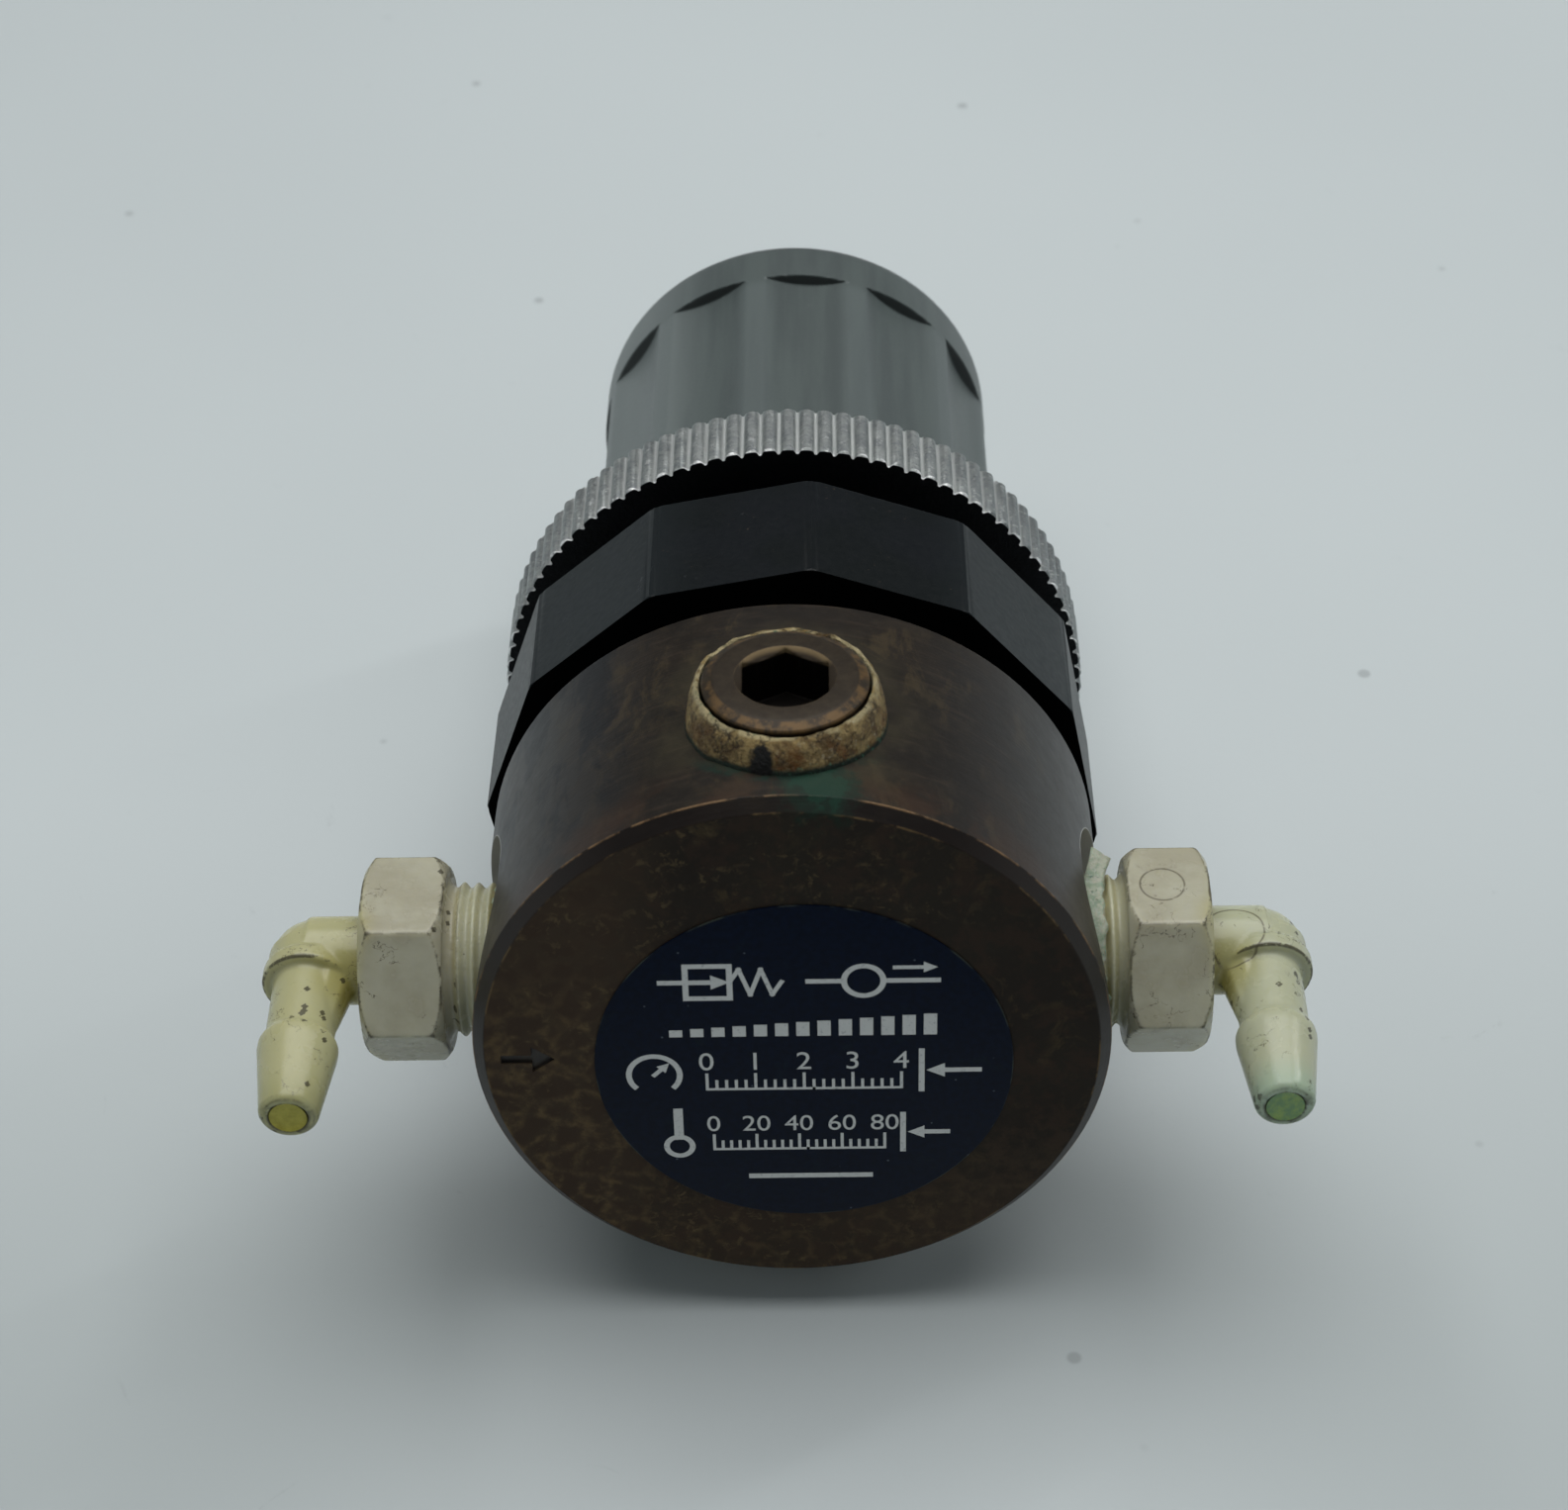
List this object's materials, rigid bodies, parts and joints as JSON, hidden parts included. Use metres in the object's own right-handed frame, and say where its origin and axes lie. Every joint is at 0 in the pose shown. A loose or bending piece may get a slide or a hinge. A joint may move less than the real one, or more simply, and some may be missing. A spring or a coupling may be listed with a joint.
{
  "type": "miniature panel-mount relief valve",
  "caption": "Round diaphragm relief regulator with a grip knob, knurled panel nut, plugged gauge ports and elbow hose barbs on two sides.",
  "frame": {"origin": "on the valve axis, in the plane of the label stuck to the body's flat end", "axes": "+Y along the valve axis from the label to the knob, +Z out of the upper gauge port, -X out of the inlet port, +X out of the outlet port"},
  "size_m": [0.0696, 0.0838, 0.0464],
  "materials": {
    "body_brass": "tarnished, turned",
    "label_film": "satin print",
    "nozzle_steel": "turned",
    "bright_brass": "turned",
    "black_rubber": "matte",
    "plate_aluminium": "satin",
    "zinc_steel": "plated",
    "spring_steel": "drawn wire",
    "bonnet_black": "matte, scuffed",
    "nut_aluminium": "turned and knurled",
    "knob_grey": "matte moulded",
    "plug_brass": "tarnished",
    "sealant_tan": "dried paste with green edges",
    "natural_nylon": "moulded, slightly translucent",
    "thread_tape": "torn film"
  },
  "bodies": {
    "valve_housing": {"valve_body": "body_brass", "face_label": "label_film", "seat_nozzle": "nozzle_steel", "nozzle_o_ring": "black_rubber", "diaphragm": "black_rubber", "slip_ring": "bright_brass", "range_spring": "spring_steel", "bonnet": "bonnet_black", "top_gauge_plug": "plug_brass", "bottom_gauge_plug": "plug_brass", "top_plug_sealant": "sealant_tan", "bottom_plug_sealant": "sealant_tan", "inlet_elbow": "natural_nylon", "outlet_elbow": "natural_nylon", "inlet_thread_tape": "thread_tape", "outlet_thread_tape": "thread_tape"},
    "lift_stack": {"valve_disc": "bright_brass", "valve_pad": "black_rubber", "diaphragm_plate": "plate_aluminium", "disc_lock_nut": "zinc_steel"},
    "spring_carrier": {"adjusting_nut": "bright_brass"},
    "adjuster": {"adjusting_screw": "zinc_steel", "thrust_washer": "zinc_steel", "screw_circlip": "spring_steel", "knob": "knob_grey"},
    "panel_nut": {"panel_nut": "nut_aluminium"}
  },
  "joints": [
    {"name": "knob_turn", "type": "hinge", "parent": "valve_housing", "child": "adjuster", "pos_m": [0, 0.065, 0], "axis": [0, -1, 0], "range_deg": [-1440, 1440]},
    {"name": "carrier_travel", "type": "slide", "parent": "valve_housing", "child": "spring_carrier", "axis": [0, -1, 0], "range_m": [-0.0059, 0.0059], "deforming": ["range_spring"]},
    {"name": "relief_lift", "type": "slide", "parent": "valve_housing", "child": "lift_stack", "axis": [0, 1, 0], "range_m": [0, 0.0008], "stiffness_N_per_m": 200, "springref_m": -0.002, "deforming": ["range_spring", "diaphragm"]},
    {"name": "panel_nut_travel", "type": "slide", "parent": "valve_housing", "child": "panel_nut", "axis": [0, 1, 0], "range_m": [-0.0043, 0.005]}
  ],
  "couplings": [
    {"joint": "knob_turn", "follows": "carrier_travel", "rad_per_m": 4188.8}
  ]
}
